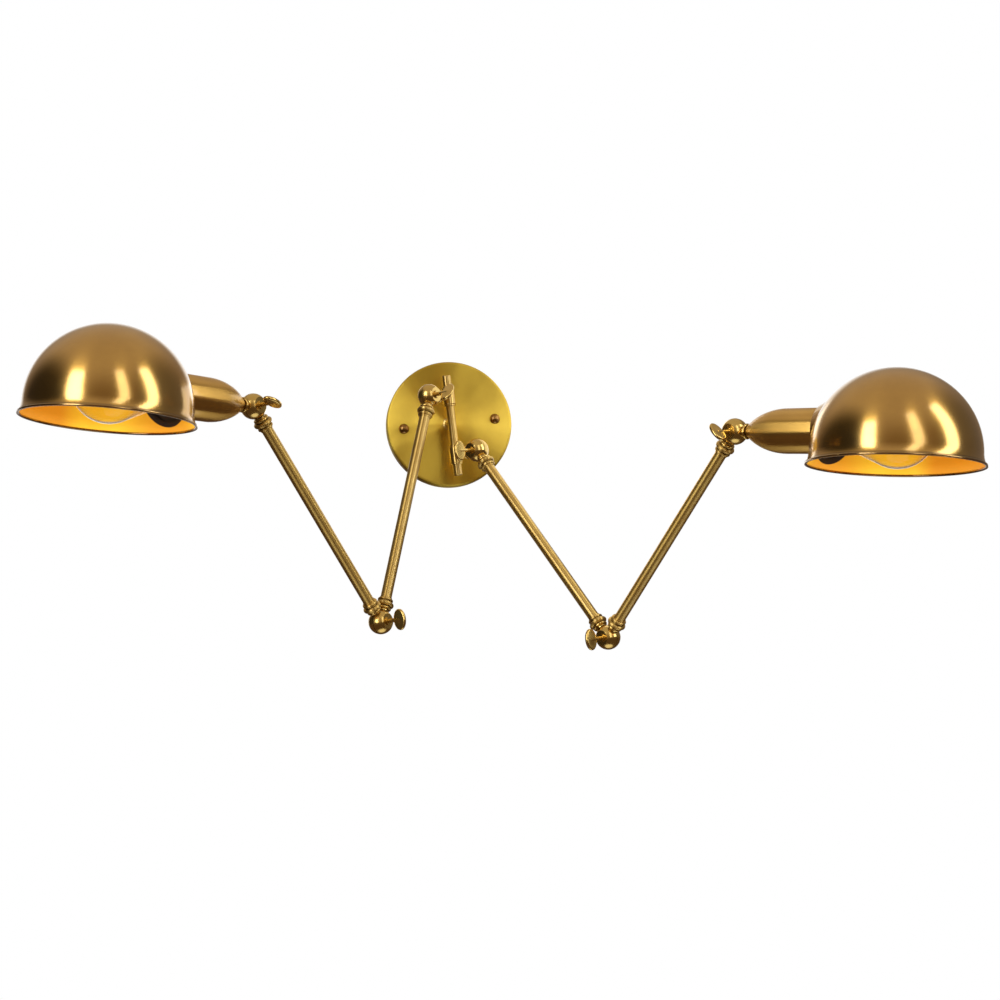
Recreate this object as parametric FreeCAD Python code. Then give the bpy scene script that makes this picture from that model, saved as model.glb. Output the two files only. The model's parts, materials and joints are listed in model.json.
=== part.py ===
import FreeCAD, Part
import math
import os

# A brass wall lamp with two swing arms, in millimetres and degrees.
# The wall is the plane Y = 0, with +Y into the wall, +Z up, and the lamp standing out towards -Y.
# The origin is the middle of the wall plate's back.

Vector = FreeCAD.Vector
Placement = FreeCAD.Placement
X_AXIS = Vector(1, 0, 0)
Y_AXIS = Vector(0, 1, 0)
Z_AXIS = Vector(0, 0, 1)

# Clearances
fit_clearance = 0.05  # pieces that are screwed or pushed together
running_clearance = 0.06  # a piece that turns on a shaft
hole_clearance = 0.25  # a screw in a plain hole
ring_clearance = 0.1  # a turning end face beside its retaining ring
knuckle_clearance = 0.4  # a neck beside the other half of its ball

# Wall plate and its screws
plate_d = 120.0
plate_depth = 20.0
plate_wall = 1.5
plate_edge_radius = 2.5
cover_screw_spacing = 88.0
cover_screw_d = 4.0
cover_screw_head_d = 9.8
cover_screw_head_h = 3.4
screw_tail = 1.5  # how far a screw's end stands past its thread

# Strap behind the plate, with what it carries
strap_width = 18.0
strap_thickness = 2.0
strap_rise = 9.0
strap_margin = 7.0  # from a hole to the strap's bend or end
wall_hole_spacing = 54.0
wall_hole_d = 4.5
terminal_width = 24.0
terminal_height = 13.0
terminal_depth = 9.0
terminal_offset = 8.0  # how far the block sits left of the middle
terminal_poles = 3
terminal_hole_d = 3.4
earth_screw_d = 4.0
earth_screw_head_d = 7.0
earth_screw_head_h = 2.4
earth_screw_slot = 1.0
earth_screw_offset = 12.0

# Post and upright bar
post_d = 7.0
post_foot_d = 13.0
post_foot_h = 2.0
post_stud_d = 6.0
post_bore_d = 3.0
post_spigot_d = 4.6
post_nut_across = 10.0
post_nut_h = 5.0
post_nut_flange_d = 14.0
post_nut_flange_h = 1.2
bar_reach = 24.6  # from the plate's front to the bar's axis
bar_d = 8.4
bar_bore_d = 5.2
bar_overhang = 10.8
bar_chamfer = 0.7
bar_window_h = 5.0
clip_thickness = 1.0
clip_d = 11.0
clip_groove = 0.5
clip_mouth = 4.0

# Swivel sleeves on the bar
sleeve_d = 12.0
sleeve_h = 16.0
sleeve_chamfer = 0.6
sleeve_boss_d = 8.8
sleeve_socket = 6.0
swivel_reach = 29.7  # from the bar's axis to the base knuckle

# Ball knuckles: two half balls on a hinge screw, each with a neck and a bead
ball_d = 22.0
ball_split = 0.5
ball_wall = 2.8
ball_boss_d = 9.2
ball_flat_depth = 2.35  # the flat under the key
ball_end_wall = 3.5
neck_d = 9.2
neck_run = 0.8  # from the ball to the bead
bead_d = 13.2
bead_width = 2.4
wire_bore_d = 3.0

# Thumb keys
key_screw_d = 4.0
key_tip_gap = 0.3
key_shoulder_d = 7.2
key_shoulder_h = 1.4
key_stem_d = 3.8
key_stem_length = 5.45
key_width = 12.8
key_height = 18.8
key_thickness = 3.2
key_edge_radius = 1.4

# Arm tubes and ferrules
arm_length = 232.0  # from knuckle to knuckle
tube_d = 10.0
tube_wall = 1.0
spigot_length = 16.0
ferrule_length = 9.4
ferrule_lip = 1.6
ferrule_end_d = 10.9
ferrule_flange_d = 16.6
ferrule_flange_width = 3.4
ferrule_ring_d = 13.8
ferrule_ring_width = 2.4

# Socket cup
cup_gap = 1.6  # from the neck's bead to the cup
cup_length = 77.6
cup_wall = 1.2
cup_base = 4.0
cup_base_d = 13.2
cup_small_d = 11.0
cup_d = 36.6
cup_bulge = 3.46
cup_edge = 0.9
cup_band = 37.4  # the straight end of the cup
cup_neck_d = 8.0
cup_neck_length = 15.0

# Lamp holder and its contacts
holder_boss_d = 12.0
holder_boss_length = 20.0
holder_cone_length = 8.0
holder_d = 30.0
holder_flange_d = 33.0
holder_flange_width = 4.0
holder_front = 13.0  # how far it stands past the cup
socket_depth = 25.7
shell_wall = 0.5
shell_length = 20.0
contact_d = 6.0
contact_h = 1.3

# Shade and its ring
shade_wall = 1.0
shade_d = 131.8
shade_bead_d = 2.2
shade_setback = 1.1  # from the cup's end to the dome's wall
shade_tilt = 3.7
shade_neck_flare = 22.0
shade_neck_fillet = 2.0
ring_d = 35.0
ring_h = 4.0
ring_notches = 24
ring_notch_d = 1.6

# The shade's form, as shares of its diameter
skirt_share = 0.0744
lip_share = 0.022  # how far the lip stands out past the dome's wall
drop_share = 0.2109  # from the cup's axis down to the rim
neck_share = 0.3338
neck_length_share = 0.2276

# Bulb
bulb_length = 108.0
bulb_d = 60.0
bulb_neck_d = 28.0
bulb_neck_length = 5.0
bulb_glass_wall = 0.8
bulb_cap_d = 26.4
bulb_cap_length = 26.0
bulb_tip_d = 9.0
bulb_tip_length = 4.0
bulb_thread_turns = 5
bulb_thread_depth = 0.9
stem_d = 6.0
stem_foot_d = 16.0
stem_foot_length = 8.0
stem_length = 20.0
filament_d = 1.8
filament_length = 34.0
filament_circle_d = 16.0
filament_count = 4

# How the lamp is set in the photo: the sleeve's height, the arm's swing out from the wall, the rise of
# each tube and of the cup, the shade's turn on its neck, and the turn of the three thumb keys.
# The keys are on the inner side of each arm.
ARMS = {
    "left": {
        "key_side": 1,
        "sleeve_z": 23.4,
        "swing": 47.5,
        "lower_rise": -61.9,
        "upper_rise": 55.3,
        "cup_rise": 5.0,
        "shade_turn": -6.4,
        "key_turns": (-40.0, 0.0, 65.0),
    },
    "right": {
        "key_side": -1,
        "sleeve_z": -32.3,
        "swing": 52.8,
        "lower_rise": -53.6,
        "upper_rise": 42.3,
        "cup_rise": -8.4,
        "shade_turn": -8.4,
        "key_turns": (0.0, 0.0, 35.0),
    },
}

# Values that follow from the sizes above
plate_r = plate_d / 2
bar_r = bar_d / 2
bar_out = plate_depth + bar_reach
ball_r = ball_d / 2
tube_r = tube_d / 2
key_screw_r = key_screw_d / 2
bead_start = ball_r + neck_run
bead_end = bead_start + bead_width
swivel_spigot_d = (sleeve_boss_d + wire_bore_d) / 2
arm_spigot_d = tube_d - 2 * tube_wall - 2 * fit_clearance
cup_start = bead_end + cup_gap
cup_end = cup_start + cup_length
cup_floor = cup_start + cup_base
neck_end = cup_start + cup_neck_length
holder_end = cup_end + holder_front
socket_floor = holder_end - socket_depth
shell_r = bulb_cap_d / 2 + hole_clearance + shell_wall
bulb_start = socket_floor + contact_h
cap_end = bulb_start + bulb_cap_length
dome_r = shade_d / 2
shade_skirt = shade_d * skirt_share
shade_lip = shade_d * lip_share
shade_drop = shade_d * drop_share
shade_neck_d = shade_d * neck_share
shade_neck_length = shade_d * neck_length_share
lip_r = dome_r + shade_lip
dome_x = cup_end + shade_setback + dome_r
strap_bend = wall_hole_spacing / 2 + strap_margin
strap_end = cover_screw_spacing / 2 + strap_margin


def frame(origin, x_axis, z_axis):
    """A place whose own X and Z point along the two given directions."""
    y_axis = z_axis.cross(x_axis)
    rows = [(x_axis[n], y_axis[n], z_axis[n], origin[n]) for n in range(3)]
    return Placement(FreeCAD.Matrix(*rows[0], *rows[1], *rows[2], 0, 0, 0, 1))


def shift(x, y=0.0, z=0.0):
    return Placement(Vector(x, y, z), FreeCAD.Rotation())


def turn(axis, angle):
    return Placement(Vector(), FreeCAD.Rotation(axis, angle))


def placed(shape, place):
    moved = shape.copy()
    moved.Placement = place.multiply(moved.Placement)
    return moved


def group(shapes):
    return Part.makeCompound(shapes)


def rod(start, end, radius):
    """A plain cylinder along X."""
    return Part.makeCylinder(radius, end - start, Vector(start, 0, 0), X_AXIS)


def cross_rod(start, end, radius):
    """A plain cylinder along Y."""
    return Part.makeCylinder(radius, end - start, Vector(0, start, 0), Y_AXIS)


def tube(start, end, inner, outer):
    return rod(start, end, outer).cut(rod(start, end, inner))


def box(x, y, z):
    """A block between pairs of limits along each axis."""
    return Part.makeBox(x[1] - x[0], y[1] - y[0], z[1] - z[0], Vector(x[0], y[0], z[0]))


def hexagon(start, end, across):
    """A six-sided block along X."""
    corner = across / math.sqrt(3)
    turns = [math.radians(60 * n) for n in range(7)]
    wire = Part.makePolygon([Vector(start, corner * math.cos(t), corner * math.sin(t)) for t in turns])
    return Part.Face(wire).extrude(Vector(end - start, 0, 0))


def arc(start, end, bulge):
    """A step of an outline: an arc to the end that stands out by the bulge at its middle."""
    along, up = end[0] - start[0], end[1] - start[1]
    length = math.hypot(along, up)
    middle_x = (start[0] + end[0]) / 2 - bulge * up / length
    middle_r = (start[1] + end[1]) / 2 + bulge * along / length
    return ((middle_x, middle_r), end)


def turned(start, *steps):
    """A solid turned about X from an outline of (x, radius) points, with pairs of points for arcs."""
    edges = []
    here = Vector(*start, 0)
    for step in steps + (start,):
        curved = isinstance(step[0], tuple)
        there = Vector(*(step[1] if curved else step), 0)
        if curved:
            edges.append(Part.Arc(here, Vector(*step[0], 0), there).toShape())
        elif there.distanceToPoint(here) > 0:
            edges.append(Part.LineSegment(here, there).toShape())
        here = there
    return Part.Face(Part.Wire(edges)).revolve(Vector(), X_AXIS, 360)


# The base: places here have X out of the wall, Y to the right and Z up
WALL = frame(Vector(), -Y_AXIS, Z_AXIS)


def wall_plate():
    front = plate_depth - plate_wall
    edge = plate_edge_radius
    corner = edge * (1 - math.sqrt(0.5))
    plate = turned(
        (0, plate_r),
        (plate_depth - edge, plate_r),
        ((plate_depth - corner, plate_r - corner), (plate_depth, plate_r - edge)),
        (plate_depth, 0),
        (front, 0),
        (front, plate_r - plate_wall),
        (0, plate_r - plate_wall),
    )
    plate = plate.cut(rod(0, plate_depth, post_stud_d / 2 + hole_clearance))
    for side in (-1, 1):
        hole = rod(0, plate_depth, cover_screw_d / 2 + hole_clearance)
        plate = plate.cut(placed(hole, shift(0, side * cover_screw_spacing / 2)))
    return placed(plate, WALL)


def wall_bracket():
    up = (-strap_width / 2, strap_width / 2)
    strap = box((0, strap_thickness), (-strap_bend, strap_bend), up)
    for side in (-1, 1):
        riser = sorted((side * (strap_bend - strap_thickness), side * strap_bend))
        ear = sorted((side * (strap_bend - strap_thickness), side * strap_end))
        strap = strap.fuse(box((0, strap_rise), riser, up))
        strap = strap.fuse(box((strap_rise - strap_thickness, strap_rise), ear, up))
    strap = strap.removeSplitter()
    for side in (-1, 1):
        wall_hole = rod(0, strap_thickness, wall_hole_d / 2)
        thread = rod(0, strap_rise, cover_screw_d / 2 + fit_clearance)
        strap = strap.cut(placed(wall_hole, shift(0, side * wall_hole_spacing / 2)))
        strap = strap.cut(placed(thread, shift(0, side * cover_screw_spacing / 2)))
    thread = rod(0, strap_thickness, earth_screw_d / 2 + fit_clearance)
    return placed(strap.cut(placed(thread, shift(0, earth_screw_offset))), WALL)


def cover_screws():
    tip = strap_rise - strap_thickness - screw_tail
    shank_r = cover_screw_d / 2
    head = (plate_depth, cover_screw_head_d / 2)
    crown = (plate_depth + cover_screw_head_h, 0)
    slant = math.hypot(head[1], cover_screw_head_h)
    bulge = slant * (slant - head[1]) / (2 * cover_screw_head_h)
    screw = turned((tip, 0), (tip, shank_r), (plate_depth, shank_r), head, arc(head, crown, bulge))
    places = [WALL.multiply(shift(0, side * cover_screw_spacing / 2)) for side in (-1, 1)]
    return group([placed(screw, place) for place in places])


def terminal_block():
    front = strap_thickness + terminal_depth
    middle = strap_thickness + terminal_depth / 2
    low = -terminal_height / 2
    left = -terminal_offset - terminal_width / 2
    block = box((strap_thickness, front), (left, left + terminal_width), (low, -low))
    pitch = terminal_width / terminal_poles
    hole_r = terminal_hole_d / 2
    for pole in range(terminal_poles):
        across = left + (pole + 0.5) * pitch
        wire_hole = Part.makeCylinder(hole_r, terminal_height, Vector(middle, across, low), Z_AXIS)
        screw_well = placed(rod(middle, front, hole_r), shift(0, across))
        block = block.cut(wire_hole).cut(screw_well)
    return placed(block, WALL)


def earth_screw():
    top = strap_thickness + earth_screw_head_h
    head_r = earth_screw_head_d / 2
    screw = rod(0, strap_thickness, earth_screw_d / 2).fuse(rod(strap_thickness, top, head_r))
    slot_up = (-earth_screw_slot / 2, earth_screw_slot / 2)
    slot = box((top - earth_screw_head_h / 2, top), (-head_r, head_r), slot_up)
    return placed(screw.cut(slot), WALL.multiply(shift(0, earth_screw_offset)))


def standoff_post():
    tail = plate_depth - plate_wall - post_nut_h - screw_tail
    foot = plate_depth + post_foot_h
    post = turned(
        (tail, 0),
        (tail, post_stud_d / 2),
        (plate_depth, post_stud_d / 2),
        (plate_depth, post_foot_d / 2),
        arc((plate_depth, post_foot_d / 2), (foot, post_d / 2), -post_foot_h / 4),
        (bar_out, post_d / 2),
        (bar_out, 0),
    )
    bar = Part.makeCylinder(bar_r + fit_clearance, 2 * post_d, Vector(bar_out, 0, -post_d), Z_AXIS)
    bar_bore = Part.makeCylinder(bar_bore_d / 2, 2 * post_d, Vector(bar_out, 0, -post_d), Z_AXIS)
    spigot = rod(plate_depth, bar_out, post_spigot_d / 2).cut(bar_bore)
    post = post.cut(bar).fuse(spigot).removeSplitter()
    return placed(post.cut(rod(tail, bar_out, post_bore_d / 2)), WALL)


def post_nut():
    seat = plate_depth - plate_wall
    nut = hexagon(seat - post_nut_h, seat, post_nut_across)
    nut = nut.fuse(rod(seat - post_nut_flange_h, seat, post_nut_flange_d / 2)).removeSplitter()
    return placed(nut.cut(rod(0, seat, post_stud_d / 2 + fit_clearance)), WALL)


# The upright bar: places here have X up and Z out of the wall
BAR = frame(Vector(0, -bar_out, 0), Z_AXIS, -Y_AXIS)


def clip_heights():
    """The lower face of each retaining ring, below and above each sleeve."""
    half = sleeve_h / 2 + ring_clearance
    heights = []
    for arm in ARMS.values():
        heights += [arm["sleeve_z"] - half - clip_thickness, arm["sleeve_z"] + half]
    return heights


def pivot_bar():
    ends = sleeve_h / 2 + ring_clearance + clip_thickness + bar_overhang
    low = min(arm["sleeve_z"] for arm in ARMS.values()) - ends
    high = max(arm["sleeve_z"] for arm in ARMS.values()) + ends
    bar = turned(
        (low, 0),
        (low, bar_r - bar_chamfer),
        (low + bar_chamfer, bar_r),
        (high - bar_chamfer, bar_r),
        (high, bar_r - bar_chamfer),
        (high, 0),
    )
    bar = bar.cut(rod(low + bar_overhang, high - bar_overhang, bar_bore_d / 2))
    for height in clip_heights():
        bar = bar.cut(tube(height, height + clip_thickness, bar_r - clip_groove, bar_d))
    for arm in ARMS.values():
        window = (arm["sleeve_z"] - bar_window_h / 2, arm["sleeve_z"] + bar_window_h / 2)
        bar = bar.cut(box(window, (-bar_r, bar_r), (0, bar_r)))
    cross_hole = Part.makeCylinder(post_spigot_d / 2 + fit_clearance, bar_r, Vector(0, 0, -bar_r), Z_AXIS)
    return placed(bar.cut(cross_hole), BAR)


def retaining_rings():
    rings = []
    for height in clip_heights():
        top = height + clip_thickness
        ring = tube(height, top, bar_r - clip_groove + fit_clearance, clip_d / 2)
        mouth = box((height, top), (-clip_mouth / 2, clip_mouth / 2), (-clip_d, 0))
        rings.append(placed(ring.cut(mouth), BAR))
    return group(rings)


def swivel_sleeve():
    """A sleeve round the bar, along Z here, with a boss along X that takes the base knuckle's spigot."""
    half = sleeve_h / 2
    sleeve = turned(
        (-half, 0),
        (-half, sleeve_d / 2 - sleeve_chamfer),
        (-half + sleeve_chamfer, sleeve_d / 2),
        (half - sleeve_chamfer, sleeve_d / 2),
        (half, sleeve_d / 2 - sleeve_chamfer),
        (half, 0),
    )
    sleeve = placed(sleeve, turn(Y_AXIS, 90))
    boss_end = swivel_reach - bead_end
    sleeve = sleeve.fuse(rod(0, boss_end, sleeve_boss_d / 2)).removeSplitter()
    bore = Part.makeCylinder(bar_r + running_clearance, sleeve_h, Vector(0, 0, -half), Z_AXIS)
    socket = rod(boss_end - sleeve_socket, boss_end, swivel_spigot_d / 2 + fit_clearance)
    return sleeve.cut(bore).cut(socket).cut(rod(0, boss_end, wire_bore_d / 2))


# Knuckles: places here have the ball at the origin, the neck along X and the hinge along Y
def beyond(side, offset):
    """The half of space past an offset along Y, on one side."""
    size = 2 * ball_d
    start = offset if side > 0 else -offset - size
    return box((-size, size), (start, start + size), (-size, size))


def knuckle_half(side, threaded, spigot_d, spigot):
    """One half ball with its neck. The threaded half takes the key's screw, and the other lets it through."""
    shell = Part.makeSphere(ball_r).common(beyond(side, ball_split / 2))
    boss = cross_rod(-ball_r, ball_r, ball_boss_d / 2)
    shell = shell.cut(Part.makeSphere(ball_r - ball_wall).cut(boss))
    neck_start = ball_r - ball_wall
    bead_side = (bead_d - bead_width) / 2
    neck = turned(
        (neck_start, 0),
        (neck_start, neck_d / 2),
        (bead_start, neck_d / 2),
        (bead_start, bead_side),
        arc((bead_start, bead_side), (bead_end, bead_side), bead_width / 2),
        (bead_end, spigot_d / 2),
        (bead_end + spigot, spigot_d / 2),
        (bead_end + spigot, 0),
    )
    other_half = Part.makeSphere(ball_r + knuckle_clearance).common(beyond(-side, -ball_split / 2))
    half = shell.fuse(neck.cut(other_half)).removeSplitter()
    half = half.cut(rod(neck_start, bead_end + spigot, wire_bore_d / 2))
    if threaded:
        ends = sorted((0, side * (ball_r - ball_end_wall)))
        return half.cut(cross_rod(*ends, key_screw_r + fit_clearance))
    half = half.cut(beyond(side, ball_r - ball_flat_depth))
    return half.cut(cross_rod(-ball_r, ball_r, key_screw_r + running_clearance))


def friction_washer():
    washer = cross_rod(-ball_split / 2, ball_split / 2, ball_boss_d / 2)
    return washer.cut(cross_rod(-ball_split, ball_split, key_screw_r + running_clearance))


def thumb_key():
    """A hinge screw along X with an oval paddle on its outer end, upright here."""
    seat = ball_r - ball_flat_depth
    tip = ball_r - ball_end_wall - key_tip_gap
    paddle_start = seat + key_shoulder_h + key_stem_length
    paddle_x = paddle_start + key_width / 2
    key = rod(-tip, seat, key_screw_r)
    key = key.fuse(rod(seat, seat + key_shoulder_h, key_shoulder_d / 2))
    key = key.fuse(rod(seat, paddle_x, key_stem_d / 2))
    oval = Part.Wire(Part.Ellipse(Vector(0, 0, -key_thickness / 2), key_height / 2, key_width / 2).toShape())
    paddle = Part.Face(oval).extrude(Vector(0, 0, key_thickness))
    rims = [edge for edge in paddle.Edges if edge.Closed]
    paddle = paddle.makeFillet(key_edge_radius, rims).Solids[0]
    return key.fuse(placed(paddle, frame(Vector(paddle_x, 0, 0), Z_AXIS, Y_AXIS))).Solids[0]


# Arms: places here have the lower knuckle at the origin and the tube along X
FAR_END = shift(arm_length).multiply(turn(Y_AXIS, 180))


def arm_tube():
    start = bead_end + ferrule_lip
    return tube(start, arm_length - start, tube_r - tube_wall, tube_r)


def ferrule():
    """A turned collar on the end of a tube: a lip, a round flange, a smaller ring and a plain end."""
    end = bead_end + ferrule_length
    end_r = ferrule_end_d / 2
    flange_start = bead_end + (ferrule_lip - fit_clearance) / 2
    flange_end = flange_start + ferrule_flange_width
    ring_start = (flange_end + end - ferrule_ring_width) / 2
    ring_end = ring_start + ferrule_ring_width
    collar = turned(
        (bead_end, 0),
        (bead_end, end_r),
        (flange_start, end_r),
        arc((flange_start, end_r), (flange_end, end_r), (ferrule_flange_d - ferrule_end_d) / 2),
        (ring_start, end_r),
        arc((ring_start, end_r), (ring_end, end_r), (ferrule_ring_d - ferrule_end_d) / 2),
        (end, end_r),
        (end, 0),
    )
    tube_seat = rod(bead_end + ferrule_lip, end, tube_r + fit_clearance)
    return collar.cut(tube_seat).cut(rod(bead_end, end, arm_spigot_d / 2 + fit_clearance))


def ferrules():
    return group([ferrule(), placed(ferrule(), FAR_END)])


# Heads: places here have the head knuckle at the origin and the cup's axis along X
def socket_cup():
    small = (cup_start, cup_small_d / 2)
    band = (cup_end - cup_band, cup_d / 2)
    base_in = (cup_floor, cup_base_d / 2)
    band_in = (band[0], band[1] - cup_wall)
    inner_share = (band[0] - cup_floor) / (band[0] - cup_start)
    hole = cup_neck_d / 2 + running_clearance
    return turned(
        (cup_start, hole),
        small,
        arc(small, band, cup_bulge),
        (cup_end - cup_edge, cup_d / 2),
        (cup_end, cup_d / 2 - cup_edge / 2),
        (cup_end, band_in[1]),
        band_in,
        arc(band_in, base_in, -cup_bulge * inner_share**2),
        (cup_floor, hole),
    )


def lamp_holder():
    boss_end = cup_floor + holder_boss_length
    body_start = boss_end + holder_cone_length
    flange_start = cup_end - holder_flange_width
    body_r = holder_d / 2
    holder = turned(
        (cup_floor, 0),
        (cup_floor, holder_boss_d / 2),
        (boss_end, holder_boss_d / 2),
        (body_start, body_r),
        (flange_start, body_r),
        (flange_start, holder_flange_d / 2),
        (cup_end, holder_flange_d / 2),
        (cup_end, body_r),
        (holder_end, body_r),
        (holder_end, 0),
    )
    holder = holder.cut(rod(socket_floor, holder_end, shell_r + fit_clearance))
    holder = holder.cut(rod(cup_floor, neck_end, cup_neck_d / 2 + running_clearance))
    return holder.cut(rod(cup_floor, socket_floor, wire_bore_d / 2))


def socket_contacts():
    shell = tube(holder_end - shell_length, holder_end, shell_r - shell_wall, shell_r)
    return group([shell, rod(socket_floor, bulb_start, contact_d / 2)])


def shade_ring():
    start = cup_end + shade_wall
    ring = tube(start, start + ring_h, holder_d / 2 + fit_clearance, ring_d / 2)
    notch = placed(rod(start, start + ring_h, ring_notch_d / 2), shift(0, 0, ring_d / 2))
    for n in range(ring_notches):
        ring = ring.cut(placed(notch, turn(X_AXIS, 360 * n / ring_notches)))
    return ring


def dome_place():
    """The middle of the rim, with X up along the dome's axis."""
    rim = shift(dome_x, 0, -shade_drop).multiply(turn(Y_AXIS, -shade_tilt))
    return rim.multiply(frame(Vector(), Z_AXIS, -X_AXIS))


def dome_body(inset):
    """A filled dome with its flared skirt, with every face moved in by the inset."""
    wall = (shade_skirt, dome_r - inset)
    lip = (0, lip_r - inset)
    crown = (shade_skirt + dome_r - inset, 0)
    round_over = (dome_r - inset) * (1 - math.sqrt(0.5))
    flare = shade_lip / 4
    dome = turned(
        (0, 0),
        lip,
        arc(lip, wall, -flare),
        ((crown[0] - round_over, dome_r - inset - round_over), crown),
    )
    return placed(dome, dome_place())


def neck_body(start, inset):
    """A filled cone round the cup's axis that runs into the dome, cut off level with the rim."""
    end = cup_end + shade_neck_length
    slope = math.tan(math.radians(shade_neck_flare))
    small = shade_neck_d / 2 - inset + (start - cup_end) * slope
    cone = turned((start, 0), (start, small), (end, small + (end - start) * slope), (end, 0))
    below_rim = box((-shade_d, 0), (-shade_d, shade_d), (-shade_d, shade_d))
    return cone.cut(placed(below_rim, dome_place()))


def drawn_dome(neck_start, inset, fillet):
    """The dome with its neck drawn out of one side in a smooth curve."""
    whole = dome_body(inset).fuse(neck_body(neck_start, inset)).removeSplitter()
    curves = [edge for edge in whole.Edges if not edge.Degenerated]
    seams = [edge for edge in curves if edge.Curve.TypeId == "Part::GeomBSplineCurve"]
    return whole.makeFillet(fillet, seams).Solids[0]


def shade():
    outer = drawn_dome(cup_end, 0, shade_neck_fillet)
    inner = drawn_dome(cup_end + shade_wall, shade_wall, shade_neck_fillet + shade_wall)
    bead_r = shade_bead_d / 2
    bead = Part.makeTorus(lip_r - bead_r, bead_r, Vector(bead_r, 0, 0), X_AXIS)
    shell = outer.cut(inner).fuse(placed(bead, dome_place())).removeSplitter()
    return shell.cut(rod(cup_end, cup_end + shade_wall, holder_d / 2 + hole_clearance))


def globe_tangent(neck, centre, radius):
    """Where a straight line from the bulb's neck touches its globe."""
    along = neck[0] - centre
    towards = math.atan2(neck[1], along) - math.acos(radius / math.hypot(along, neck[1]))
    return (centre + radius * math.cos(towards), radius * math.sin(towards))


def bulb_body(start, inset):
    """A filled bulb from its cap to its crown, with the glass moved in by the inset."""
    radius = bulb_d / 2 - inset
    centre = bulb_start + bulb_length - bulb_d / 2
    neck = (cap_end + bulb_neck_length, bulb_neck_d / 2 - inset)
    touch = globe_tangent(neck, centre, radius)
    return turned(
        (start, 0),
        (start, bulb_cap_d / 2 - bulb_thread_depth - inset),
        neck,
        touch,
        ((centre, radius), (centre + radius, 0)),
    )


def bulb_glass():
    return bulb_body(cap_end, 0).cut(bulb_body(cap_end, bulb_glass_wall))


def bulb_cap():
    tip_end = bulb_start + bulb_tip_length
    root = bulb_cap_d / 2 - bulb_thread_depth
    pitch = (bulb_cap_length - bulb_tip_length) / (bulb_thread_turns + 1)
    steps = [(bulb_start, bulb_tip_d / 2), (tip_end, root)]
    for n in range(bulb_thread_turns):
        foot = (tip_end + n * pitch, root)
        steps.append(arc(foot, (foot[0] + pitch, root), bulb_thread_depth))
    steps += [(cap_end, root), (cap_end, 0)]
    return turned((bulb_start, 0), *steps)


def bulb_filament():
    """A glass stem on the cap with thin filaments standing round its end."""
    foot_end = cap_end + stem_foot_length
    stem_end = cap_end + stem_length
    stem = turned(
        (cap_end, 0),
        (cap_end, stem_foot_d / 2),
        (foot_end, stem_d / 2),
        (stem_end, stem_d / 2),
        (stem_end, 0),
    )
    hub_start = stem_end - filament_d
    filament_out = filament_circle_d / 2
    mount = stem.fuse(rod(hub_start, stem_end, filament_out + filament_d))
    filament = placed(rod(hub_start, stem_end + filament_length, filament_d / 2), shift(0, 0, filament_out))
    for n in range(filament_count):
        mount = mount.fuse(placed(filament, turn(X_AXIS, 360 * n / filament_count)))
    return mount.removeSplitter()


HEAD_MAKERS = (
    socket_cup,
    lamp_holder,
    socket_contacts,
    shade_ring,
    shade,
    bulb_glass,
    bulb_cap,
    bulb_filament,
)


def links(arm):
    """The places of one arm's links: sleeve, lower arm, upper arm, head and shade."""
    swing = math.radians(arm["swing"])
    outward = Vector(-arm["key_side"] * math.cos(swing), -math.sin(swing), 0)
    sleeve = frame(Vector(0, -bar_out, arm["sleeve_z"]), outward, Z_AXIS)
    lower = sleeve.multiply(shift(swivel_reach)).multiply(turn(Y_AXIS, -arm["lower_rise"]))
    bend = arm["lower_rise"] - arm["upper_rise"]
    upper = lower.multiply(shift(arm_length)).multiply(turn(Y_AXIS, bend))
    nod = arm["upper_rise"] - arm["cup_rise"]
    head = upper.multiply(shift(arm_length)).multiply(turn(Y_AXIS, nod))
    return {
        "sleeve": sleeve,
        "lower": lower,
        "upper": upper,
        "head": head,
        "shade": head.multiply(turn(X_AXIS, arm["shade_turn"])),
    }


def key_place(arm, sleeve, knuckle, key_turn):
    """A thumb key's place on a knuckle, with X out along the hinge on the key's side."""
    level = Placement(knuckle.Base, sleeve.Rotation)
    return level.multiply(turn(Z_AXIS, 90 * arm["key_side"])).multiply(turn(X_AXIS, key_turn))


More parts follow.
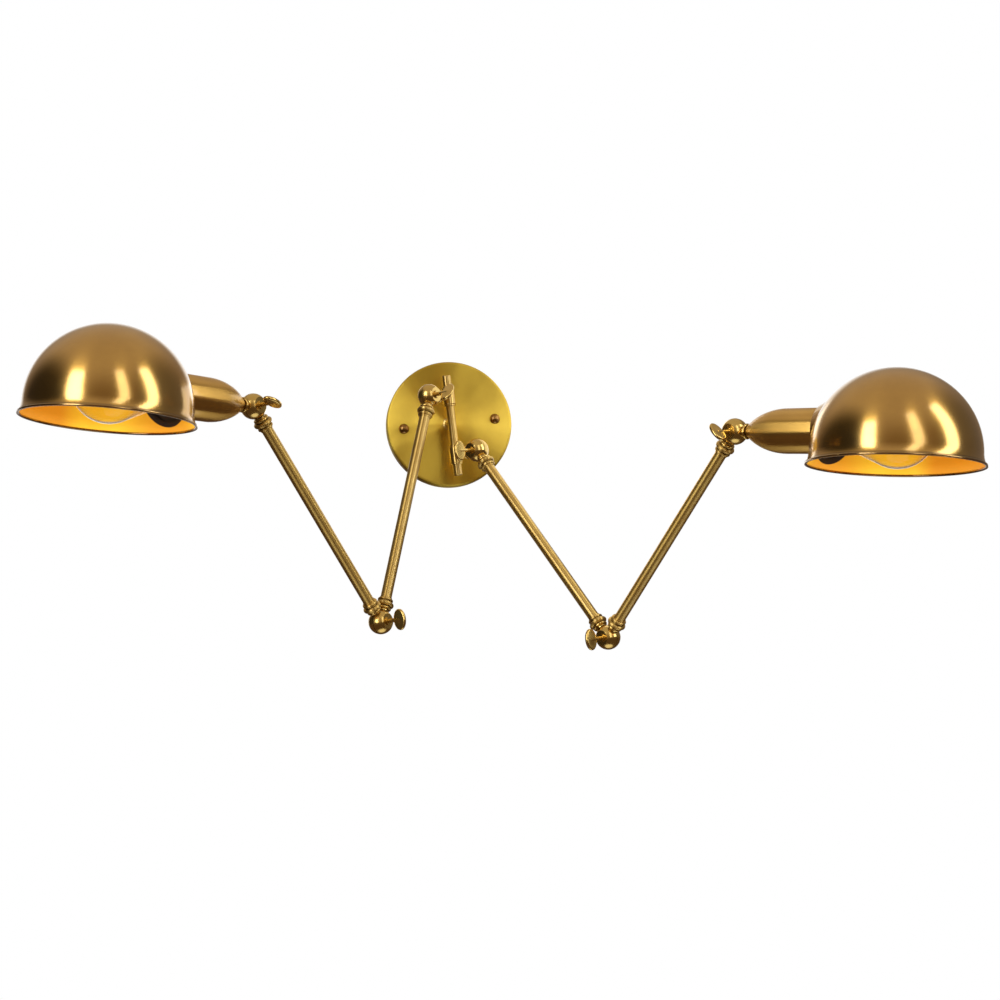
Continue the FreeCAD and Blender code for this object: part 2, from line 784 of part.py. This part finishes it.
def arm_pieces(arm):
    """Every piece of one arm, each in its place."""
    place = links(arm)
    outer_side = arm["key_side"]
    inner_side = -outer_side
    base_end = place["sleeve"].multiply(shift(swivel_reach)).multiply(turn(Y_AXIS, 180))
    inner = knuckle_half(inner_side, True, arm_spigot_d, spigot_length)
    outer = knuckle_half(outer_side, False, arm_spigot_d, spigot_length)
    base_inner = knuckle_half(inner_side, True, swivel_spigot_d, sleeve_socket)
    head_outer = knuckle_half(outer_side, False, cup_neck_d, cup_gap + cup_neck_length)
    lower_end = place["lower"].multiply(FAR_END)
    upper_end = place["upper"].multiply(FAR_END)
    pieces = {
        "swivel_sleeve": placed(swivel_sleeve(), place["sleeve"]),
        "base_knuckle_inner": placed(base_inner, base_end),
        "base_knuckle_outer": placed(outer, place["lower"]),
        "lower_tube": placed(arm_tube(), place["lower"]),
        "lower_ferrules": placed(ferrules(), place["lower"]),
        "elbow_knuckle_inner": placed(inner, lower_end),
        "elbow_knuckle_outer": placed(outer, place["upper"]),
        "upper_tube": placed(arm_tube(), place["upper"]),
        "upper_ferrules": placed(ferrules(), place["upper"]),
        "head_knuckle_inner": placed(inner, upper_end),
        "head_knuckle_outer": placed(head_outer, place["head"]),
    }
    joints = {"base": "lower", "elbow": "upper", "head": "head"}
    for (joint, link), key_turn in zip(joints.items(), arm["key_turns"]):
        key = key_place(arm, place["sleeve"], place[link], key_turn)
        pieces[joint + "_friction_washer"] = placed(friction_washer(), place[link])
        pieces[joint + "_thumb_key"] = placed(thumb_key(), key)
    for maker in HEAD_MAKERS:
        pieces[maker.__name__] = placed(maker(), place["shade"])
    return pieces


BASE_MAKERS = (
    wall_plate,
    wall_bracket,
    cover_screws,
    terminal_block,
    earth_screw,
    standoff_post,
    post_nut,
    pivot_bar,
    retaining_rings,
)


def lamp():
    """Every piece of the lamp by name."""
    pieces = {maker.__name__: maker() for maker in BASE_MAKERS}
    for side, arm in ARMS.items():
        for name, shape in arm_pieces(arm).items():
            pieces[side + "_" + name] = shape
    return pieces


os.makedirs("parts", exist_ok=True)
for name, shape in lamp().items():
    print(name, len(shape.Solids), shape.isValid(), round(shape.Volume, 1))
    shape.exportStep("parts/" + name + ".step")
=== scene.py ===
import json
import math

import bmesh
import bpy
from mathutils import Matrix, Vector

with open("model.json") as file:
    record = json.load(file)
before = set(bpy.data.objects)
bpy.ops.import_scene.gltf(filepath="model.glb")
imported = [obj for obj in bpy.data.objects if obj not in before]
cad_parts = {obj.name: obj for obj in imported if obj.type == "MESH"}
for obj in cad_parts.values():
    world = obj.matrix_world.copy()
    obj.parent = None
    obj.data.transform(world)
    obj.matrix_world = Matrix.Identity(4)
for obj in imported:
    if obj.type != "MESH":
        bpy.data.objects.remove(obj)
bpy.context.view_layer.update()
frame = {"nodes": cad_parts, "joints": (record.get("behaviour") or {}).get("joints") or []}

nodes = frame["nodes"]
joints = {joint["name"]: joint for joint in frame["joints"]}
SIDES = ("left", "right")

# Lengths are in metres, angles in degrees and colours linear.

# The shades as they are set in the photo: the turn on the neck and the dome's lean
SHADE_TURN = {"left": -6.4, "right": -8.4}
DOME_LEAN = 3.7

# The dome's rim, from the head knuckle along the cup's axis and below it, and heights above the rim: the
# skirt's top, the top of the painted shade on the lip and the edge of the lining
DOME_REACH = 0.1604
DOME_DROP = 0.0278
DOME_SKIRT = 0.0098
DOME_LIP = 0.0032
LINING_EDGE = 0.0022

# How far from the wall the plate's side gets painted shade, and the half width of the blend at the edge of a
# lip's painted shade
PLATE_LIP = 0.0190
LIP_BLEND = 0.0007

# Inside the dome: painted shade in the hollow where the neck opens, as a radius round the cup's axis, its soft
# edge and the share of the reach where it starts to end
NECK_HOLLOW = 0.0262
HOLLOW_BLEND = 0.0008
HOLLOW_END = 0.8
NECK_SHADE_TONE = (0.022, 0.014, 0.010, 1)

# The lacquer is painted brighter yellow round this place along the cup's axis, as painted light, and deeper
# orange away from it, as painted shade
LINING_GLOW = 0.122
GLOW_FADE = (0.010, 0.032)
LIT_YELLOW = ((0.98, 0.60, 0.030, 1), (0.95, 0.54, 0.022, 1))
SHADED_ORANGE = (0.80, 0.31, 0.011, 1)

# Brass tones
GOLD = (0.74, 0.430, 0.083, 1)
STRAW = (0.88, 0.618, 0.180, 1)
AGED = (0.50, 0.255, 0.042, 1)
SATIN = (1.00, 0.720, 0.105, 1)
WARM = (0.92, 0.560, 0.130, 1)
DULL = (0.34, 0.175, 0.045, 1)
# Painted shade, partly patina, for creases and lips
SHADE_AND_PATINA = (0.085, 0.042, 0.014, 1)

# Brass finishes: lines is the scale of the turning marks, and spread the share of aged brass in the clouds
TURNED = dict(rough=0.3, anisotropic=0.8, lines=3000.0, tone=STRAW, spread=0.35, lip=0.0, coat=0.3)
PLATE = dict(
    TURNED, rough=0.4, anisotropic=1.0, lines=4000.0, tone=SATIN, spread=0.15, lip=PLATE_LIP, coat=0.0
)
SCREW = dict(TURNED, rough=0.25, tone=DULL)
TUBE = dict(TURNED, rough=0.42, anisotropic=0.9)
BALL = dict(TURNED, rough=0.2, anisotropic=0.5)
CUP = dict(TURNED, rough=0.31, anisotropic=1.0, tone=WARM, spread=0.2, coat=0.6)
DOME = dict(TURNED, rough=0.21, anisotropic=0.7, lines=1800.0, tone=GOLD, lip=DOME_LIP, coat=1.0)

# All brass: its clouds, the painted shade in its creases (partly patina) and on its lips, and how these and the
# marks change the roughness
CLOUD = dict(scale=26.0, detail=6.0, roughness=0.62)
CLOUD_RANGE = (0.35, 0.72)
CREASE_REACH = 0.0035
CREASE_SAMPLES = 4
CREASE_RANGE = (0.15, 0.75)
CREASE_SHADE_AND_PATINA = 0.75
LIP_SHADE = 0.45
ROUGH_START = -0.03
ROUGH_BY_CLOUD = 0.07
ROUGH_BY_MARKS = 0.03
ROUGH_BY_CREASE = 0.2
MARKS_BUMP = (0.2, 0.000002)
ACROSS_MARKS = 0.25
COAT_ROUGHNESS = 0.15
COAT_IOR = 1.7

# Plain materials: pairs of close tones, and how their patches and grain are made
ZINC = ((0.55, 0.54, 0.50, 1), (0.42, 0.41, 0.38, 1))
WHITE_PLASTIC = ((0.80, 0.79, 0.75, 1), (0.72, 0.71, 0.66, 1))
BLACK_PLASTIC = ((0.012, 0.011, 0.010, 1), (0.03, 0.027, 0.024, 1))
FIBRE = ((0.20, 0.10, 0.05, 1), (0.13, 0.06, 0.03, 1))
CAP_METAL = ((0.72, 0.70, 0.64, 1), (0.55, 0.53, 0.48, 1))
FILAMENT = ((0.90, 0.66, 0.22, 1), (0.80, 0.52, 0.14, 1))
PALE_FLOOR = ((0.86, 0.86, 0.85, 1), (0.83, 0.83, 0.82, 1))
TONE_RANGE = (0.35, 0.65)
ROUGH_SPAN = 0.16
PATCH_SHARE = 1 / 6
GRAIN_SHARE = 12
GRAIN_BUMP = (0.3, 0.00004)

# Lacquer and glass
LACQUER_ROUGH = 0.42
LACQUER_SPECULAR = 0.15
LACQUER_BUMP = (0.2, 0.00002)
LACQUER_CLOUD = 30.0
LACQUER_BRUSHING = 900.0
GLASS_TONE = (1.0, 0.97, 0.90, 1)
GLASS_IOR = 1.2
GLASS_BUMP = (0.1, 0.0002)
GLASS_WAVES = 60.0
DUST = 1500.0
DUST_RANGE = (0.6, 0.75)
DUST_ROUGH = 0.1
SHEEN_ROUGHNESS = 0.25
SHEEN_TINT = (1.0, 0.86, 0.62, 1)

# Smooth shading: points this close are one, and edges sharper than this stay sharp
WELD_DISTANCE = 0.000002
SHARP_ANGLE = 32

FLOOR_DROP = 2.7
FLOOR_RADIUS = 1.1
FLOOR_SEGMENTS = 96

# The room as metal and glass show it, by the direction's X, Y and Z, and the soft light on other surfaces
LEFT_RANGE = (-0.45, -0.8)
RIGHT_RANGE = (0.55, 0.95)
BEHIND_RANGE = (0.80, 0.95)
ABOVE_RANGE = (0.2, 0.85)
BELOW_RANGE = (-0.02, -0.2)
ROOM_LEVEL = (0.20, 0.140, 0.085, 1)
ROOM_ABOVE = (0.47, 0.395, 0.31, 1)
ROOM_LEFT = (0.03, 0.025, 0.02, 1)
ROOM_RIGHT = (0.14, 0.12, 0.10, 1)
ROOM_BELOW = (0.085, 0.054, 0.034, 1)
WHITE = (1, 1, 1, 1)
SOFT_ABOVE = (0.95, 0.95, 0.95, 1)
SOFT_BELOW = (1.65, 1.65, 1.65, 1)

# The camera at the photo's angle
EYE = Vector((-0.179583, -1.910964, -0.195882))
LOOK = Vector((0.11481589, 0.9914706, 0.0616714))
RIGHT = Vector((0.98678424, -0.10668691, -0.12196216))
SENSOR_WIDTH = 36.0
LENS = 71.65


class Tree:
    """A node tree with short ways to add nodes and to join them."""

    def __init__(self, tree):
        self.tree = tree
        self.tree.nodes.clear()

    def add(self, kind, settings=None, inputs=None):
        node = self.tree.nodes.new(kind)
        for key, value in (settings or {}).items():
            setattr(node, key, value)
        for key, value in (inputs or {}).items():
            self.put(node.inputs[key], value)
        return node

    def put(self, socket, value):
        """Joins an output to a socket, or sets the socket to a plain value."""
        if isinstance(value, bpy.types.NodeSocket):
            self.tree.links.new(value, socket)
        else:
            socket.default_value = value

    def math(self, operation, a, b=0.0, c=0.0, clamp=False):
        settings = {"operation": operation, "use_clamp": clamp}
        return self.add("ShaderNodeMath", settings, {0: a, 1: b, 2: c}).outputs[0]

    def vector_math(self, operation, a, b):
        return self.add("ShaderNodeVectorMath", {"operation": operation}, {0: a, 1: b}).outputs[0]

    def mix(self, factor, a, b):
        """A mix of two colours, by the numbers of the node's colour sockets."""
        return self.add("ShaderNodeMix", {"data_type": "RGBA"}, {0: factor, 6: a, 7: b}).outputs[2]

    def noise(self, vector, scale, detail=2.0, roughness=0.55):
        values = {"Vector": vector, "Scale": scale, "Detail": detail, "Roughness": roughness}
        return self.add("ShaderNodeTexNoise", {}, values).outputs[0]

    def ramp(self, value, low, high):
        """0 at low and 1 at high, smooth in between and level beyond."""
        limits = {"Value": value, "From Min": low, "From Max": high}
        return self.add("ShaderNodeMapRange", {"interpolation_type": "SMOOTHSTEP"}, limits).outputs[0]

    def inverse(self, value):
        return self.math("SUBTRACT", 1.0, value)

    def split(self, vector):
        return self.add("ShaderNodeSeparateXYZ", {}, {0: vector}).outputs

    def bump(self, height, strength, distance):
        values = {"Strength": strength, "Distance": distance, "Height": height}
        return self.add("ShaderNodeBump", {}, values).outputs[0]

    def spot(self):
        """Coordinates on the piece, in the shared frame."""
        return self.add("ShaderNodeTexCoord").outputs["Object"]

    def local(self, place):
        """Coordinates on the piece, in a place whose X is the piece's own axis."""
        turn = place.to_3x3().transposed()
        values = {
            "Vector": self.spot(),
            "Location": -(turn @ place.translation),
            "Rotation": turn.to_euler("XYZ"),
        }
        return self.add("ShaderNodeMapping", {}, values).outputs[0]

    def lathe(self, local):
        """The way along the X axis and from it, the same all round, for marks left by turning."""
        x, y, z = self.split(local)
        squares = self.math("ADD", self.math("POWER", y, 2.0), self.math("POWER", z, 2.0))
        radius = self.math("SQRT", squares)
        return self.add("ShaderNodeCombineXYZ", {}, {0: x, 1: radius}).outputs[0]

    def grooves(self, place):
        """The way that turning marks run: round the place's X axis."""
        arm = self.vector_math("SUBTRACT", self.spot(), place.translation)
        around = self.vector_math("CROSS_PRODUCT", place.to_3x3().col[0], arm)
        settings = {"vector_type": "VECTOR", "convert_from": "OBJECT", "convert_to": "WORLD"}
        return self.add("ShaderNodeVectorTransform", settings, {0: around}).outputs[0]

    def surface(self, values):
        shader = self.add("ShaderNodeBsdfPrincipled", {}, values)
        self.add("ShaderNodeOutputMaterial", {}, {"Surface": shader.outputs[0]})


def new_material(name):
    material = bpy.data.materials.new(name)
    material.use_nodes = True
    return material, Tree(material.node_tree)


def brass(name, place, finish=TURNED):
    """Aged brass with turning marks round the place's X axis, cloudy patches, and painted shade with some
    patina in its creases.

    A finish with a lip has painted shade below that height along the axis."""
    material, tree = new_material(name)
    local = tree.local(place)
    marks = tree.noise(tree.lathe(local), finish["lines"])
    cloud = tree.ramp(tree.noise(local, **CLOUD), *CLOUD_RANGE)
    # Creases and contacts between parts get painted shade, partly patina, from the ambient occlusion
    samples = {"samples": CREASE_SAMPLES}
    hollow = tree.add("ShaderNodeAmbientOcclusion", samples, {"Distance": CREASE_REACH}).outputs["AO"]
    crease_shade_and_patina = tree.inverse(tree.ramp(hollow, *CREASE_RANGE))
    colour = tree.mix(tree.math("MULTIPLY", cloud, finish["spread"]), finish["tone"], AGED)
    colour = tree.mix(tree.math("MULTIPLY", crease_shade_and_patina, CREASE_SHADE_AND_PATINA), colour, SHADE_AND_PATINA)
    # Painted shade on the lip, below its height along the axis
    lip = finish["lip"]
    if lip:
        height = tree.split(local)[0]
        rim = tree.inverse(tree.ramp(height, lip - LIP_BLEND, lip + LIP_BLEND))
        colour = tree.mix(tree.math("MULTIPLY", rim, LIP_SHADE), colour, SHADE_AND_PATINA)
    rough = tree.math("MULTIPLY_ADD", cloud, ROUGH_BY_CLOUD, finish["rough"] + ROUGH_START)
    rough = tree.math("MULTIPLY_ADD", marks, ROUGH_BY_MARKS, rough)
    rough = tree.math("MULTIPLY_ADD", crease_shade_and_patina, ROUGH_BY_CREASE, rough, clamp=True)
    tree.surface({
        "Base Color": colour,
        "Metallic": 1.0,
        "Roughness": rough,
        "Normal": tree.bump(marks, *MARKS_BUMP),
        "Anisotropic": finish["anisotropic"],
        "Anisotropic Rotation": ACROSS_MARKS,
        "Tangent": tree.grooves(place),
        "Coat Weight": finish["coat"],
        "Coat Roughness": COAT_ROUGHNESS,
        "Coat IOR": COAT_IOR,
    })
    return material


def plain(name, tones, rough, metallic=0.0, scale=220.0):
    """Plastic, fibre or plated metal: two close tones, a fine grain and an uneven gloss."""
    material, tree = new_material(name)
    spot = tree.spot()
    cloud = tree.noise(spot, scale * PATCH_SHARE, 4.0)
    grain = tree.noise(spot, scale * GRAIN_SHARE)
    tree.surface({
        "Base Color": tree.mix(tree.ramp(cloud, *TONE_RANGE), *tones),
        "Metallic": metallic,
        "Roughness": tree.math("MULTIPLY_ADD", cloud, ROUGH_SPAN, rough - ROUGH_SPAN / 2),
        "Normal": tree.bump(grain, *GRAIN_BUMP),
    })
    return material


def lacquer(name, place):
    """Gold lacquer inside a dome, with painted light and shade along the place's X axis and painted shade in
    the hollow where the neck opens round that axis.
    """
    material, tree = new_material(name)
    local = tree.local(place)
    along, radius, _ = tree.split(tree.lathe(local))
    cloud = tree.noise(local, LACQUER_CLOUD, 4.0)
    brushing = tree.noise(local, LACQUER_BRUSHING)
    # Painted light round the glow place and painted shade away from it along the cup's axis
    away = tree.math("ABSOLUTE", tree.math("SUBTRACT", along, LINING_GLOW))
    colour = tree.mix(tree.ramp(cloud, *TONE_RANGE), *LIT_YELLOW)
    colour = tree.mix(tree.ramp(away, *GLOW_FADE), colour, SHADED_ORANGE)
    # Painted shade in the hollow where the neck opens
    outside_neck = tree.ramp(radius, NECK_HOLLOW, NECK_HOLLOW + HOLLOW_BLEND)
    past_neck = tree.ramp(along, DOME_REACH * HOLLOW_END, DOME_REACH)
    lined = tree.math("MAXIMUM", outside_neck, past_neck)
    tree.surface({
        "Base Color": tree.mix(lined, NECK_SHADE_TONE, colour),
        "Roughness": tree.math("MULTIPLY_ADD", cloud, ROUGH_SPAN, LACQUER_ROUGH),
        "Normal": tree.bump(brushing, *LACQUER_BUMP),
        "Specular IOR Level": LACQUER_SPECULAR,
    })
    return material


def glass(name):
    """Clear glass with faint waves and a little dust."""
    material, tree = new_material(name)
    spot = tree.spot()
    waves = tree.noise(spot, GLASS_WAVES)
    dust = tree.ramp(tree.noise(spot, DUST), *DUST_RANGE)
    tree.surface({
        "Base Color": GLASS_TONE,
        "Roughness": tree.math("MULTIPLY", dust, DUST_ROUGH),
        "IOR": GLASS_IOR,
        "Transmission Weight": 1.0,
        "Sheen Weight": 1.0,
        "Sheen Roughness": SHEEN_ROUGHNESS,
        "Sheen Tint": SHEEN_TINT,
        "Normal": tree.bump(waves, *GLASS_BUMP),
    })
    return material


def place_on(origin, axis):
    """A place at a point, with X along an axis."""
    place = Vector(axis).to_track_quat("X", "Z").to_matrix().to_4x4()
    place.translation = Vector(origin)
    return place


def at(joint):
    return Vector(joints[joint]["pos_m"])


def axis_of(joint):
    return Vector(joints[joint]["axis"])


def shade_place(side):
    """The dome's own place, with X up along its axis."""
    head = at(side + "_head_tilt")
    cup = axis_of(side + "_shade_turn")
    level = Vector((0, 0, 1)).cross(cup).normalized()
    level = Matrix.Rotation(math.radians(SHADE_TURN[side]), 3, cup) @ level
    up = cup.cross(level)
    rim = head + cup * DOME_REACH - up * DOME_DROP
    return place_on(rim, Matrix.Rotation(math.radians(-DOME_LEAN), 3, level) @ up)


def line_inside(node, place, lining):
    """Lines the faces inside the dome, above its lip."""
    up = place.to_3x3().col[0]
    middle = place.translation + up * DOME_SKIRT
    node.data.materials.append(lining)
    for polygon in node.data.polygons:
        out = polygon.center - middle
        above_lip = out.dot(up) > LINING_EDGE - DOME_SKIRT
        if polygon.normal.dot(out) < 0 and above_lip:
            polygon.material_index = 1


def smooth(node):
    """Round faces shade smoothly and edges stay sharp."""
    for polygon in node.data.polygons:
        polygon.use_smooth = True
    weld = node.modifiers.new("weld", "WELD")
    weld.merge_threshold = WELD_DISTANCE
    edges = node.modifiers.new("edges", "EDGE_SPLIT")
    edges.split_angle = math.radians(SHARP_ANGLE)


def dress(material, *names):
    """Gives the named nodes a material."""
    for name in names:
        node = nodes[name]
        node.data.materials.clear()
        node.data.materials.append(material)
        smooth(node)


# The base
wall_axis = place_on((0, 0, 0), (0, -1, 0))
bar_axis = place_on(at("left_arm_swing"), (0, 0, 1))
dress(brass("plate_brass", wall_axis, PLATE), "wall_plate")
dress(brass("screw_brass", wall_axis, SCREW), "cover_screws")
dress(brass("post_brass", wall_axis), "standoff_post")
dress(brass("bar_brass", bar_axis, TUBE), "pivot_bar")
dress(brass("ring_brass", bar_axis), "retaining_rings")
dress(plain("zinc_steel", ZINC, rough=0.38, metallic=1.0), "wall_bracket", "earth_screw", "post_nut")
dress(plain("white_plastic", WHITE_PLASTIC, rough=0.5), "terminal_block")

# The two arms
fibre = plain("fibre", FIBRE, rough=0.8)
black = plain("black_plastic", BLACK_PLASTIC, rough=0.32)
cap_metal = plain("cap_metal", CAP_METAL, rough=0.3, metallic=1.0)
clear = glass("clear_glass")
filament = plain("filament", FILAMENT, rough=0.45)

for side in SIDES:
    base, elbow, head = (at(side + joint) for joint in ("_base_tilt", "_elbow_bend", "_head_tilt"))
    cup_axis = place_on(head, axis_of(side + "_shade_turn"))
    key_axis = axis_of(side + "_base_key_turn")
    dome = shade_place(side)

    dress(brass(side + "_sleeve_brass", bar_axis), side + "_swivel_sleeve")
    for joint, point in (("_base", base), ("_elbow", elbow), ("_head", head)):
        knuckle = side + joint
        ball_brass = brass(knuckle + "_ball_brass", place_on(point, key_axis), BALL)
        dress(ball_brass, knuckle + "_knuckle_inner", knuckle + "_knuckle_outer", knuckle + "_thumb_key")
        dress(fibre, knuckle + "_friction_washer")
    for part, start, end in (("_lower", base, elbow), ("_upper", elbow, head)):
        arm = side + part
        dress(brass(arm + "_brass", place_on(start, end - start), TUBE), arm + "_tube", arm + "_ferrules")

    dress(brass(side + "_cup_brass", cup_axis, CUP), side + "_socket_cup", side + "_socket_contacts")
    dress(black, side + "_lamp_holder", side + "_shade_ring")
    dress(brass(side + "_dome_brass", dome, DOME), side + "_shade")
    line_inside(nodes[side + "_shade"], dome, lacquer(side + "_gold_lacquer", cup_axis))
    dress(clear, side + "_bulb_glass")
    dress(cap_metal, side + "_bulb_cap")
    dress(filament, side + "_bulb_filament")

# The floor, well below the lamp
floor_mesh = bpy.data.meshes.new("floor")
shape = bmesh.new()
bmesh.ops.create_circle(shape, cap_ends=True, segments=FLOOR_SEGMENTS, radius=FLOOR_RADIUS)
shape.to_mesh(floor_mesh)
shape.free()
floor = bpy.data.objects.new("floor", floor_mesh)
floor.location.z = -FLOOR_DROP
bpy.context.scene.collection.objects.link(floor)
floor_mesh.materials.append(plain("floor", PALE_FLOOR, rough=0.7, scale=30.0))

# The studio: white for the camera and behind the lamp, dimmer in front of it where the softboxes stand.
# The world isn't sampled as a lamp, because metal and other surfaces see different light from it.
world = bpy.data.worlds.new("studio")
bpy.context.scene.world = world
world.use_nodes = True
world.cycles.sampling_method = "NONE"
sky = Tree(world.node_tree)
rays = sky.add("ShaderNodeLightPath").outputs
x, y, z = sky.split(sky.add("ShaderNodeTexCoord").outputs["Generated"])
below = sky.ramp(z, *BELOW_RANGE)
room = sky.mix(sky.ramp(z, *ABOVE_RANGE), ROOM_LEVEL, ROOM_ABOVE)
room = sky.mix(sky.ramp(x, *LEFT_RANGE), room, ROOM_LEFT)
room = sky.mix(sky.ramp(x, *RIGHT_RANGE), room, ROOM_RIGHT)
room = sky.mix(sky.ramp(y, *BEHIND_RANGE), room, WHITE)
room = sky.mix(below, room, ROOM_BELOW)
soft = sky.mix(below, SOFT_ABOVE, SOFT_BELOW)
mirrored = sky.math("MAXIMUM", rays["Is Glossy Ray"], rays["Is Transmission Ray"])
light = sky.mix(mirrored, soft, room)
light = sky.mix(rays["Is Camera Ray"], light, WHITE)
background = sky.add("ShaderNodeBackground", {}, {"Color": light, "Strength": 1.0})
sky.add("ShaderNodeOutputWorld", {}, {"Surface": background.outputs[0]})


def softbox(name, place, width, height, radiance):
    """An upright lamp that faces the middle, as bright as the given radiance seen in a mirror."""
    lamp = bpy.data.lights.new(name, "AREA")
    lamp.shape = "RECTANGLE"
    lamp.size, lamp.size_y = width, height
    lamp.energy = radiance * math.pi * width * height
    body = bpy.data.objects.new(name, lamp)
    body.location = place
    body.rotation_euler = Vector((-place[0], -place[1], 0)).to_track_quat("-Z", "Y").to_euler()
    bpy.context.scene.collection.objects.link(body)


softbox("softbox_left", place=(-1.57, -1.9, 0.9), width=0.82, height=2.3, radiance=5.0)
softbox("softbox_front", place=(0.85, -2.62, 1.0), width=0.6, height=2.6, radiance=1.9)
softbox("softbox_right", place=(2.75, -1.7, 1.2), width=0.95, height=3.0, radiance=3.25)
softbox("wall_card", place=(0.05, 0.05, 0.03), width=0.45, height=0.2, radiance=0.9)

camera_data = bpy.data.cameras.new("camera")
camera_data.sensor_width = SENSOR_WIDTH
camera_data.lens = LENS
camera = bpy.data.objects.new("camera", camera_data)
camera.matrix_world = Matrix((RIGHT, RIGHT.cross(LOOK), -LOOK)).transposed().to_4x4()
camera.location = EYE
bpy.context.scene.collection.objects.link(camera)
bpy.context.scene.camera = camera
bpy.context.scene.view_settings.view_transform = "Standard"
